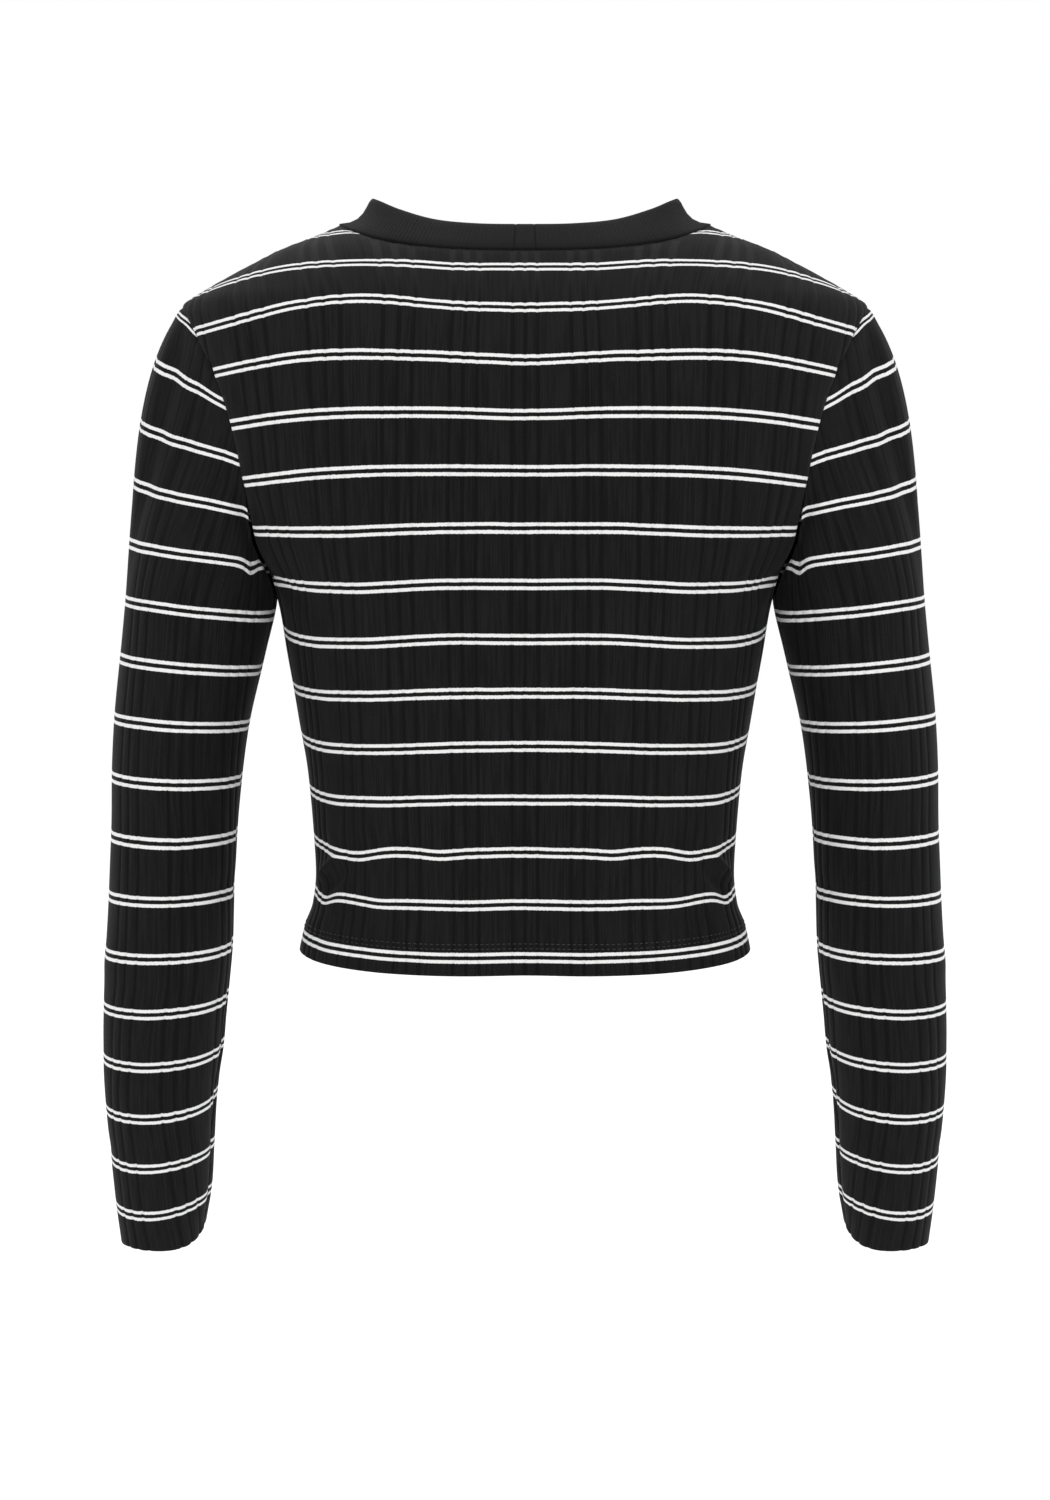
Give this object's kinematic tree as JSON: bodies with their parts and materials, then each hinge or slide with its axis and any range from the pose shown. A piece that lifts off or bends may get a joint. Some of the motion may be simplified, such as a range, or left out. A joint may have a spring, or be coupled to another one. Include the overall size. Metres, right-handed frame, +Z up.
{
  "type": "crop top",
  "caption": "Fitted long-sleeved crop top in a drop-needle rib knit with fine double stripes, a ribbed crew neckband and set-in sleeves, standing in its worn shape.",
  "frame": {"origin": "midway between the two neck points of the shoulder seams, where the wearer's shoulders hold the top up", "axes": "+Z up, the wearer's front faces -Y and the back faces +Y, the wearer's left arm is at +X"},
  "size_m": [0.493, 0.2183, 0.6152],
  "materials": {
    "striped_rib": "matte drop-needle rib knit, black with fine off-white double stripes",
    "neck_rib": "matte plain rib knit, black"
  },
  "bodies": {
    "root": {"back_panel": "striped_rib", "front_panel": "striped_rib", "sleeve_left": "striped_rib", "sleeve_right": "striped_rib", "neckband": "neck_rib"}
  },
  "joints": []
}
